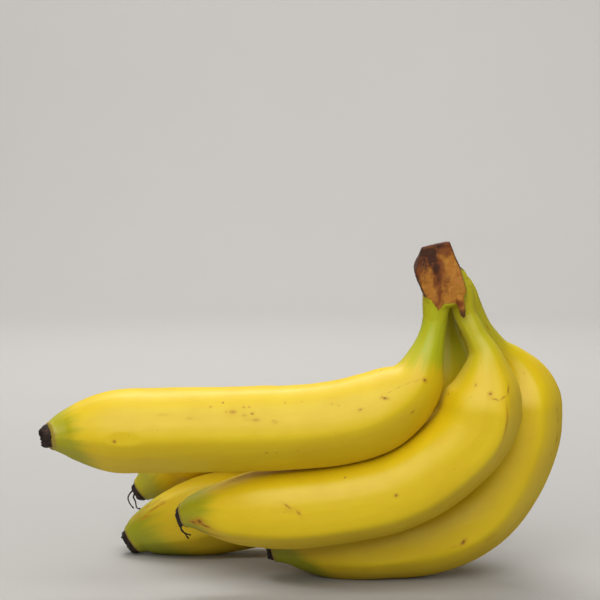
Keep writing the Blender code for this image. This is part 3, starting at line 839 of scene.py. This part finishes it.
def peel_surface(finger, settings):
    """The fruit as a bmesh. Its vertices carry what its finish reads: their place on the straightened fruit,
    their distance from both ends, and how far they are up a ridge."""
    line = LINES[finger.name]
    rings = [ring_at(finger, along(RING_PLAN, i / (RINGS - 1)) * line.length) for i in range(RINGS)]
    bm = tube(SIDES, RINGS)
    grain = bm.verts.layers.float_vector.new("grain")
    from_crown = bm.verts.layers.float.new("from_crown")
    from_tip = bm.verts.layers.float.new("from_tip")
    ridge_layer = bm.verts.layers.float.new("ridge")
    turn = math.radians(finger.ridge_turn)
    seed = Vector((FINGERS.index(finger) * 7.3, 0, 0))
    for vert in bm.verts:
        ring = rings[round(vert.co.z * (RINGS - 1))]
        column = turn_of(vert)
        angle = column + turn
        to_tip = line.length - ring.distance
        place = Vector((math.cos(angle) * FINGER_RADIUS, math.sin(angle) * FINGER_RADIUS, ring.distance))
        vert[grain] = place
        vert[from_crown] = ring.distance
        vert[from_tip] = to_tip
        vert[ridge_layer] = ridge = ridge_height(column)
        number = round(column / (2 * math.pi / RIDGES)) % RIDGES
        drift = noise.noise(seed + Vector((number * 3.1, 0, ring.distance / DRIFT_LENGTH)))
        sharp = ridge * finger.ridges[number] * (1 + 0.5 * drift)
        relief = settings.ridge_relief * (NECK_RELIEF + (1 - NECK_RELIEF) * ring.fullness)
        radius = ring.girth * (1 + relief * (sharp - RIDGE_MEAN))
        radius += unevenness(finger, seed, ring, angle, place, settings.dent_depth)
        radius += end_relief(ring.distance, to_tip)
        sway = 0.05 * noise.noise(seed + Vector((0, 0, ring.distance / SWAY_LENGTH)))
        vert.co = ring.centre + ring.out(angle + sway) * (0 if on_axis(vert) else radius)
    keep_inside(bm, *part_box("banana_" + finger.name))
    return bm


def ripening(made, finger, settings, grain, clouds, streaks, fibres):
    """The peel's colour before any marks: yellow with soft mottles, olive and green towards both ends."""
    from_crown, from_tip, ridge = (made.attribute(name) for name in ("from_crown", "from_tip", "ridge"))
    base = made.tint(settings.ripe, settings.warm, clouds, 0.3, 0.75, 0.7)
    base = made.tint(base, settings.warm, streaks, 0.4, 0.8, 0.3)
    base = made.tint(base, settings.warm, fibres, 0.45, 0.75, 0.12)
    base = made.tint(base, settings.green, ridge, 0.75, 1.0, 0.05)

    edge = made.wander(made.wander(from_crown, clouds, 10 * MM), streaks, 12 * MM)
    base = made.tint(base, settings.olive, edge, OLIVE_GONE, OLIVE_SOLID, NECK_OLIVE)
    neck = finger.neck_green
    edge = made.wander(made.wander(from_crown, clouds, 16 * MM), streaks, 20 * MM)
    blotchy = made.total(neck.strength - 0.15, made.times(made.fade(streaks, 0.35, 0.65), 0.25))
    base = made.tint(base, settings.green, edge, neck.gone * MM, neck.solid * MM, blotchy)

    tip = finger.tip_green
    side = math.radians(finger.tip_side)
    toward = Vector((math.cos(side), math.sin(side), 0)) * finger.tip_reach * MM / FINGER_RADIUS
    further = made.number("MAXIMUM", made.vector("DOT_PRODUCT", grain, toward))
    edge = made.wander(made.number("SUBTRACT", from_tip, further), clouds, 10 * MM)
    edge = made.wander(edge, streaks, 10 * MM)
    base = made.tint(base, settings.tip_green, edge, tip.gone * MM, tip.solid * MM, tip.strength)
    edge = made.wander(from_tip, made.noise(grain, 420, detail=4), 3 * MM)
    return made.tint(base, settings.lip, edge, LIP_GONE, LIP_SOLID, 0.7)


def strewn_flecks(made, grain):
    """How dark the small flecks are that are strewn over the peel, a few of them larger than the rest."""
    cells = made.add("ShaderNodeTexVoronoi", {"Vector": grain, "Scale": 150.0, "Randomness": 1.0})
    sizes = made.add("ShaderNodeSeparateColor", {0: cells.outputs["Color"]}).outputs[0]
    reach = made.times(made.number("POWER", sizes, 4.0), 0.10)
    return made.times(made.fade(made.number("SUBTRACT", reach, cells.outputs["Distance"]), -0.03, 0.03), 0.45)


def mark_darkness(made, frayed, mark):
    """How dark a place is by one mark of the peel: its core, with a fainter ring round it."""
    turn = math.radians(mark.around)
    lean = math.radians(mark.lean)
    outward = Vector((math.cos(turn), math.sin(turn), 0))
    sideways = Vector((-math.sin(turn), math.cos(turn), 0))
    length = Vector((0, 0, math.cos(lean))) + sideways * math.sin(lean)
    axes = Matrix((outward, length.cross(outward), length)).transposed()
    centre = outward * FINGER_RADIUS + Vector((0, 0, mark.along * MM))
    halves = (MARK_DEPTH, mark.half_width * MM, mark.half_length * MM)
    far = made.here(frayed, centre, halves, axes.to_euler())
    core = made.times(made.fade(far, 1.5, 0.1), 0.9 * mark.strength)
    halo = made.times(made.fade(far, 3.0, 0.6), 0.3 * mark.strength)
    return made.number("MAXIMUM", core, halo)


def peel_finish(finger, settings):
    """Waxy peel with faint fibres: its ripening colours, strewn flecks, the fruit's own marks, and painted
    shade along one lower ridge.
    """
    made = Finish("peel_" + finger.name, Specular_IOR_Level=0.38)
    grain = made.attribute("grain", "Vector")
    clouds = made.noise(grain, 60)
    streaks = made.noise(made.vector("MULTIPLY", grain, (1, 1, 0.05)), 330, detail=2)
    fibres = made.noise(made.vector("MULTIPLY", grain, (1, 1, 0.06)), 1500, detail=2)
    base = ripening(made, finger, settings, grain, clouds, streaks, fibres)
    flecks_and_painted_shade = strewn_flecks(made, grain)
    frayed = made.ragged(grain, 900, 1.1 * MM)
    # Most marks are the fruit's own flecks and bruises; two on lower_front are painted shade along its lower
    # ridge
    for mark in finger.marks:
        flecks_and_painted_shade = made.number("MAXIMUM", flecks_and_painted_shade, mark_darkness(made, frayed, mark))
    base = made.tint(base, settings.scuff, flecks_and_painted_shade, 0.0, 0.5)
    base = made.tint(base, settings.bruise, flecks_and_painted_shade, 0.35, 1.0)

    dull = made.total(made.wander(settings.roughness, clouds, 0.12), made.times(flecks_and_painted_shade, 0.3))
    edge_on = made.add("ShaderNodeLayerWeight", {"Blend": 0.5}).outputs["Facing"]
    made.paint(base, made.total(dull, made.times(made.fade(edge_on, 0.35, 0.95), 0.4)))
    pores = made.noise(grain, 2200, detail=2)
    height = made.total(made.times(fibres, 0.6), made.times(pores, 0.4), made.times(flecks_and_painted_shade, -0.3))
    made.relief(height, 0.06 * MM, 0.5)
    return made.material


def crown_point(x, z, share):
    """A point of the crown's outline at a share of its depth, drawn in at both ends and lower at the back."""
    tuck = 1 - CROWN_TUCK * (1 - smooth(min(share, 1 - share) / CROWN_TUCK_SHARE))
    place = CROWN_MIDDLE + (Vector((x, 0, z)) * MM - CROWN_MIDDLE) * tuck
    height = place.z - CROWN_MIDDLE.z
    front = CROWN_FRONT + CROWN_FRONT_LEAN * height + FOOT_RECESS * smooth((FOOT_TOP - place.z) / FOOT_HEIGHT)
    back = CROWN_BACK - CROWN_BACK_LEAN * height
    drop = CROWN_DROP * max(height, 0)
    point = Vector((place.x + CROWN_SLANT * share, front + (back - front) * share, place.z - drop * share))
    return point + DRAWING_SHIFT


def crown_block():
    """The crown's block as a bmesh: its outline carried from front to back."""
    points = len(CROWN_OUTLINE)
    bm = tube(points, len(CROWN_SHARES))
    for vert in bm.verts:
        share = CROWN_SHARES[round(vert.co.z * (len(CROWN_SHARES) - 1))]
        number = round(turn_of(vert) / (2 * math.pi) * points) % points
        drawn = (CROWN_MIDDLE.x / MM, CROWN_MIDDLE.z / MM) if on_axis(vert) else CROWN_OUTLINE[number]
        vert.co = crown_point(*drawn, share)
    return bm


def collar(finger):
    """A sleeve that comes out of the crown and thins out over a finger's neck until it sinks into it."""
    bm = tube(*COLLAR_MESH)
    for vert in bm.verts:
        distance = COLLAR_START + (COLLAR_END - COLLAR_START) * vert.co.z
        ring = ring_at(finger, distance)
        radius = ring.girth + along(COLLAR, distance / MM) * MM
        vert.co = ring.centre + ring.out(turn_of(vert)) * (0 if on_axis(vert) else radius)
    return bm


def green_near(place):
    """How green the necks round a place are, the nearest ones most."""
    pulls = []
    for finger in FINGERS:
        far = min((LINES[finger.name].at(d * MM) - place).length for d in NECK_SAMPLES)
        pulls.append((finger.neck_green.strength, (MM / far) ** 5))
    return sum(green * pull for green, pull in pulls) / sum(pull for _, pull in pulls)


def outline_depth(x, z):
    """How far a place on the crown's front is inside its outline in mm, and below 0 outside it."""
    nearest = math.inf
    inside = False
    here = Vector((x, z))
    for start, end in zip(CROWN_OUTLINE, CROWN_OUTLINE[1:] + CROWN_OUTLINE[:1]):
        a, b = Vector(start), Vector(end)
        share = min(max((here - a).dot(b - a) / (b - a).length_squared, 0), 1)
        nearest = min(nearest, (here - a.lerp(b, share)).length)
        if (a.y > z) != (b.y > z) and x < a.x + (z - a.y) / (b.y - a.y) * (b.x - a.x):
            inside = not inside
    return nearest if inside else -nearest


def runs_smoothly(drawn):
    """Whether the crown is smooth at a place in mm: round the necks, on its right flank, towards the back."""
    on_flank = drawn.x > EVEN_FLANK_X and drawn.y > EVEN_FLANK_Y
    return EVEN_LOW_Z < drawn.z < EVEN_HIGH_Z or on_flank or drawn.y > EVEN_BACK_Y


def crown_zones(drawn, normal, behind):
    """How much of a cut face and how much of living skin the crown is at a place in mm with this normal."""
    rough = noise.noise(drawn / ROUGH_LENGTH) + 0.5 * noise.noise(drawn / FINE_ROUGH_LENGTH)
    flank = smooth((normal.x - 0.1) / 0.45) * smooth((normal.y + 0.75) / 0.3)
    flank = max(flank, smooth((drawn.x - FLANK_X) / 2) * smooth((drawn.y - FLANK_Y) / 2.5))
    edge = along(BROWN_EDGE, drawn.x)
    waves = EDGE_WAVE_HEIGHT * behind * noise.noise(drawn / EDGE_WAVE_LENGTH)
    edge += (FLANK_EDGE - edge + waves) * flank + rough * (0.5 + 0.8 * flank)
    skin = smooth((edge - drawn.z) / (1.4 + 3.0 * flank) + 0.5) * (1 - smooth((normal.z - 0.8) / 0.15))
    front = smooth((-normal.y - 0.45) / 0.3) * smooth((outline_depth(drawn.x, drawn.z) + 0.3) / 0.9)
    turned_under = smooth((TURNED_UNDER_Z - drawn.z) / 2) * smooth((-normal.y - 0.2) / 0.3)
    front = max(front, turned_under) * (drawn.y < -1)
    back = smooth((drawn.y - BACK_CUT_Y) / 3) * smooth((drawn.z - BACK_CUT_Z) / 3)
    return max(front, back * smooth((normal.y - 0.5) / 0.3)), skin


def crown_relief(drawn, cut, skin, behind):
    """How far the crown's surface stands out, in fibre depths: waves, pits, and swells towards the back."""
    waves = 2.0 * noise.noise(drawn / WAVE_LENGTH) + 0.9 * noise.noise(drawn / RIPPLE_LENGTH)
    swell = 5.0 * noise.noise(stretched(drawn, SWELL_LENGTHS)) * behind
    pits = noise.noise(stretched(drawn, PIT_LENGTHS))
    return (waves + swell) * (1 - 0.75 * skin) + pits * (0.3 + 0.5 * cut) * (1 - 0.8 * skin)


def crown_surface(settings):
    """The crown as a bmesh: the block and the collars grown into one and roughened, and the spur under it.
    Its vertices carry how much of a cut face and of living skin they are, and how green that skin is."""
    bm = grown_together(joined([crown_block(), *(collar(finger) for finger in FINGERS)]), CROWN_VOXEL)
    even_out(bm, bm.verts, 4)
    even_out(bm, [vert for vert in bm.verts if runs_smoothly(drawn_place(vert.co))], 16)
    bm.normal_update()
    cut_layer = bm.verts.layers.float.new("cut")
    skin_layer = bm.verts.layers.float.new("skin")
    green_layer = bm.verts.layers.float.new("green_share")
    moved = []
    for vert in bm.verts:
        drawn = drawn_place(vert.co)
        behind = smooth((drawn.y - UNEVEN_Y) / 8)
        cut, skin = crown_zones(drawn, vert.normal, behind)
        moved.append(vert.co + vert.normal * settings.fibre_depth * crown_relief(drawn, cut, skin, behind))
        vert[cut_layer] = cut
        vert[skin_layer] = skin
        vert[green_layer] = green_near(vert.co) if skin > 0 else 0
    for vert, place in zip(bm.verts, moved):
        vert.co = place
    spur = bent_tube(SPUR_PATH, *SPUR_MESH, lambda share: along(SPUR_RADIUS, share) * MM)
    for vert in spur.verts:
        vert.co += Vector((1, 1, 0)) * 0.25 * MM * noise.noise(vert.co / (1.6 * MM))
    before = len(bm.verts)
    bm = joined([bm, spur])
    cut_layer = bm.verts.layers.float["cut"]
    for vert in list(bm.verts)[before:]:
        vert[cut_layer] = smooth((drawn_place(vert.co).z - SPUR_PALE_Z) / 3.5)
    keep_inside(bm, CAD_LOW, CAD_HIGH)
    return bm


def crown_finish(settings, peel):
    """Dried crown: ochre cut faces with stains and fibres, brown bark, and green skin towards the necks."""
    made = Finish("crown", Specular_IOR_Level=0.22)
    place = made.add("ShaderNodeTexCoord", {}).outputs["Object"]
    cut, skin, green_share = (made.attribute(name) for name in ("cut", "skin", "green_share"))
    clouds = made.noise(place, 170, detail=5, roughness=0.62)
    fine = made.noise(place, 950, detail=4)
    upright = made.noise(made.vector("MULTIPLY", place, (1, 1, 0.25)), 600, detail=3)
    turned = made.add("ShaderNodeMapping", {"Vector": place, "Rotation": (0, math.radians(40), 0)}).outputs[0]
    slanting = made.noise(made.vector("MULTIPLY", turned, (0.2, 0.6, 1)), 700, detail=3)

    bark = made.tint(settings.bark, settings.pale_bark, clouds, 0.4, 0.7)
    bark = made.tint(bark, settings.stain, upright, 0.45, 0.75, 0.6)
    face = made.tint(settings.cut, settings.deep_cut, clouds, 0.35, 0.75)
    face = made.tint(face, settings.fibre, slanting, 0.4, 0.75, 0.45)
    face = made.tint(face, settings.rust, upright, 0.5, 0.8, 0.5)
    base = made.mix(cut, bark, face)
    frayed = made.ragged(place, 260, 2.6 * MM)
    for patches, shade, depth in ((CROWN_RUST, settings.rust, 0.9), (CROWN_STAINS, settings.stain, 0.92)):
        bias = 0.0
        for x, z, half_width, half_height, strength in patches:
            centre = Vector((x * MM, CROWN_FRONT, z * MM)) + DRAWING_SHIFT
            far = made.here(frayed, centre, (half_width * MM, PATCH_DEPTH, half_height * MM))
            bias = made.number("MAXIMUM", bias, made.times(made.fade(far, 1.7, 0.1), strength))
        mottled = made.wander(made.wander(made.wander(bias, clouds, 0.8), upright, 0.7), fine, 0.5)
        share = made.times(made.fade(mottled, 0.08, 0.75), made.fade(bias, 0.0, 0.2))
        base = made.mix(made.times(share, depth), base, shade)
    height = made.add("ShaderNodeSeparateXYZ", {0: place}).outputs["Z"]
    upper = made.fade(height, *(z * MM + DRAWING_SHIFT.z for z in RIM_STAIN))
    rim = made.times(made.times(cut, made.number("SUBTRACT", 1.0, cut)), 3.2)
    base = made.mix(made.times(rim, upper), base, settings.stain)

    living = made.mix(NECK_OLIVE, made.mix(0.35, peel.ripe, peel.warm), peel.olive)
    living = made.mix(made.times(green_share, made.wander(0.75, clouds, 0.6)), living, peel.green)
    frayed_skin = made.wander(made.wander(skin, fine, 0.6), upright, 0.5)
    living = made.tint(living, settings.drying, frayed_skin, 1.0, 0.5, 0.7)
    made.paint(made.tint(base, living, frayed_skin, 0.3, 0.6), made.wander(0.72, fine, 0.3))
    fibres = made.total(made.times(upright, 0.7), made.times(slanting, 0.7), made.times(fine, 0.6))
    made.relief(fibres, 0.20 * MM, 0.8)
    return made.material


def stub_profile(share):
    """The radius and height of a stub's outline, as shares: up its wall, over its rim, down into its dish."""
    if share < STUB_WALL:
        rise = share / STUB_WALL
        return 1 - (1 - STUB_RIM) * rise ** 2, rise
    inward = (share - STUB_WALL) / (1 - STUB_WALL)
    return STUB_RIM * (1 - inward), 1 - STUB_DISH * smooth(inward * 1.6)


def stub_surface(finger, settings):
    """The flower remains on a tip as a bmesh: a ragged dished stub, with its curled strands."""
    line = LINES[finger.name]
    way, front, inner = line.axes(line.length)
    base = line.at(line.length) - way * STUB_SUNK * MM
    seed = Vector((0, FINGERS.index(finger) * 5.1, 0))
    bm = tube(*STUB_MESH)
    for vert in bm.verts:
        angle = turn_of(vert)
        share, rise = stub_profile(vert.co.z)
        spot = seed + Vector((math.cos(angle), math.sin(angle), 0)) * 1.7
        wave = 1 + 0.16 * noise.noise(spot) + 0.09 * noise.noise(spot * 3 + Vector((0, 0, rise * 2)))
        teeth = 1.1 * noise.noise(spot * 1.5) + 0.7 * noise.noise(spot * 4)
        folds = 0.15 * noise.noise(spot * share * 3 + Vector((0, 0, 9))) * (vert.co.z > STUB_WALL)
        radius = BLOSSOM_RADIUS * finger.scar_girth * share * wave
        reach = (finger.stub + STUB_SUNK + STUB_TALLER) * rise + teeth * rise * share + folds
        vert.co = base + way * reach * MM + (front * math.cos(angle) + inner * math.sin(angle)) * radius

    def strand_radius(share):
        """How thick a strand is at a share of its length."""
        return settings.strand_radius * along(STRAND, share)

    shapes = [bm]
    tip = Matrix((way, front, inner)).transposed().to_4x4()
    tip.translation = line.at(line.length) - DRAWING_SHIFT
    for points in finger.strands:
        route = [(tip @ (Vector(p) * MM)) / MM for p in points]
        shapes.append(bent_tube(route, *STRAND_MESH, strand_radius))
    bm = joined(shapes)
    keep_inside(bm, CAD_LOW, CAD_HIGH)
    return bm


def stub_finish(settings):
    """Withered, brittle brown-black tissue with paler worn edges."""
    made = Finish("dried_blossom", Specular_IOR_Level=0.3)
    place = made.add("ShaderNodeTexCoord", {}).outputs["Object"]
    clouds = made.noise(place, 500, detail=4)
    fine = made.noise(place, 2500, detail=4)
    base = made.tint(settings.brown, settings.worn, clouds, 0.48, 0.75)
    made.paint(base, made.wander(0.7, fine, 0.4))
    made.relief(made.total(clouds, fine), 0.3 * MM, 0.8)
    return made.material


class FRUIT_OT_bananas(bpy.types.Operator):
    """Adds the five bananas in their peel"""

    bl_idname = "fruit.bananas"
    bl_label = "Bananas"
    bl_options = {"REGISTER", "UNDO"}

    def execute(self, context):
        settings = context.scene.banana_peel
        for finger in FINGERS:
            surface, finish = peel_surface(finger, settings), peel_finish(finger, settings)
            new_piece("peel_" + finger.name, surface, "banana_" + finger.name, finish)
        return {"FINISHED"}


class FRUIT_OT_crown(bpy.types.Operator):
    """Adds the dried crown that the necks grow out of"""

    bl_idname = "fruit.crown"
    bl_label = "Crown"
    bl_options = {"REGISTER", "UNDO"}

    def execute(self, context):
        settings = context.scene.banana_crown
        finish = crown_finish(settings, context.scene.banana_peel)
        new_piece("crown_block", crown_surface(settings), "crown", finish)
        return {"FINISHED"}


class FRUIT_OT_blossom_ends(bpy.types.Operator):
    """Adds the dried flower remains on the five tips"""

    bl_idname = "fruit.blossom_ends"
    bl_label = "Blossom ends"
    bl_options = {"REGISTER", "UNDO"}

    def execute(self, context):
        settings = context.scene.banana_blossom
        finish = stub_finish(settings)
        for finger in FINGERS:
            surface, node = stub_surface(finger, settings), "blossom_end_" + finger.name
            new_piece("flower_remains_" + finger.name, surface, node, finish)
        return {"FINISHED"}


def stage_floor(settings):
    """A pale floor that turns up into an even wall all round, far from the fruit."""
    profile = [(0, 0, 0), (FLOOR_RADIUS, 0, 0)]
    for i in range(1, SWEEP_STEPS + 1):
        turn = math.pi / 2 * i / SWEEP_STEPS
        profile.append((FLOOR_RADIUS + SWEEP_RADIUS * math.sin(turn), 0, SWEEP_RADIUS * (1 - math.cos(turn))))
    profile.append((FLOOR_RADIUS + SWEEP_RADIUS, 0, WALL_TOP))
    bm = bmesh.new()
    verts = [bm.verts.new(place) for place in profile]
    edges = [bm.edges.new(pair) for pair in zip(verts, verts[1:])]
    bmesh.ops.spin(
        bm, geom=verts + edges, cent=(0, 0, 0), axis=(0, 0, 1), angle=2 * math.pi, steps=FLOOR_SIDES,
        use_merge=True,
    )
    bmesh.ops.remove_doubles(bm, verts=bm.verts, dist=0.01 * MM)
    bmesh.ops.recalc_face_normals(bm, faces=bm.faces)
    if min(bm.faces, key=lambda f: f.calc_center_median().length).normal.z < 0:
        bmesh.ops.reverse_faces(bm, faces=bm.faces)
    mesh = bpy.data.meshes.new("floor")
    bm.to_mesh(mesh)
    bm.free()
    mesh.shade_smooth()
    made = Finish("floor", Specular_IOR_Level=0.2)
    place = made.add("ShaderNodeTexCoord", {}).outputs["Object"]
    made.paint(made.mix(made.noise(place, 3), settings.floor, settings.floor * 0.96), 0.9)
    mesh.materials.append(made.material)
    floor = bpy.data.objects.new("floor", mesh)
    bpy.context.scene.collection.objects.link(floor)


def area_light(name, light, power):
    """Adds a square soft light that faces its target."""
    lamp = bpy.data.lights.new(name, "AREA")
    lamp.shape = "SQUARE"
    lamp.size = light.size
    lamp.energy = power
    obj = bpy.data.objects.new(name, lamp)
    azimuth, elevation = math.radians(light.azimuth), math.radians(light.elevation)
    level = Vector((math.sin(azimuth), -math.cos(azimuth), 0)) * math.cos(elevation)
    back = level + Vector((0, 0, math.sin(elevation)))
    obj.location = Vector(light.target) + back * light.distance
    obj.rotation_euler = back.to_track_quat("Z", "Y").to_euler()
    bpy.context.scene.collection.objects.link(obj)


def studio_sky(settings):
    """The even light from all round, as a world."""
    world = bpy.data.worlds.new("studio")
    world.use_nodes = True
    background = world.node_tree.nodes["Background"]
    background.inputs["Color"].default_value = (*settings.sky_colour, 1.0)
    background.inputs["Strength"].default_value = settings.sky
    return world


def photo_camera():
    """The camera that the photo was taken with, as an object."""
    lens = bpy.data.cameras.new("camera")
    lens.sensor_width = SENSOR
    lens.lens = SENSOR * PHOTO_FOCAL / PHOTO_SIZE
    lens.clip_start = 0.01
    camera = bpy.data.objects.new("camera", lens)
    camera.location = CAMERA_PLACE
    camera.rotation_euler = (math.pi / 2 - CAMERA_PITCH, 0, 0)
    bpy.context.scene.collection.objects.link(camera)
    return camera


class FRUIT_OT_stage(bpy.types.Operator):
    """Adds the plain floor, the soft lights and the camera"""

    bl_idname = "fruit.stage"
    bl_label = "Stage"
    bl_options = {"REGISTER", "UNDO"}

    def execute(self, context):
        settings = context.scene.banana_stage
        stage_floor(settings)
        for name, light in LIGHTS.items():
            area_light(name + "_light", light, getattr(settings, name))
        context.scene.world = studio_sky(settings)
        context.scene.camera = photo_camera()
        context.scene.view_settings.view_transform = "Standard"
        return {"FINISHED"}


class VIEW3D_PT_bananas(bpy.types.Panel):
    """Lists the pieces of the cluster and their settings"""

    bl_label = "Banana Cluster"
    bl_space_type = "VIEW_3D"
    bl_region_type = "UI"
    bl_category = "Bananas"

    def draw(self, context):
        for operator, name in STEPS:
            box = self.layout.box()
            box.operator(operator.bl_idname)
            for prop in SETTINGS[name].__annotations__:
                box.prop(getattr(context.scene, name), prop)


SETTINGS = {
    "banana_peel": PeelSettings,
    "banana_crown": CrownSettings,
    "banana_blossom": BlossomSettings,
    "banana_stage": StageSettings,
}
STEPS = (
    (FRUIT_OT_bananas, "banana_peel"),
    (FRUIT_OT_crown, "banana_crown"),
    (FRUIT_OT_blossom_ends, "banana_blossom"),
    (FRUIT_OT_stage, "banana_stage"),
)
CLASSES = (*SETTINGS.values(), *(operator for operator, _ in STEPS), VIEW3D_PT_bananas)


def register():
    """Adds the classes to Blender, and the settings to its scenes."""
    for cls in CLASSES:
        bpy.utils.register_class(cls)
    for name, group in SETTINGS.items():
        setattr(bpy.types.Scene, name, PointerProperty(type=group))


def unregister():
    """Takes the settings and the classes away again."""
    for name in SETTINGS:
        delattr(bpy.types.Scene, name)
    for cls in reversed(CLASSES):
        bpy.utils.unregister_class(cls)


def main():
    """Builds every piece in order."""
    register()
    bpy.ops.fruit.bananas()
    bpy.ops.fruit.crown()
    bpy.ops.fruit.blossom_ends()
    bpy.ops.fruit.stage()


if __name__ == "__main__":
    main()
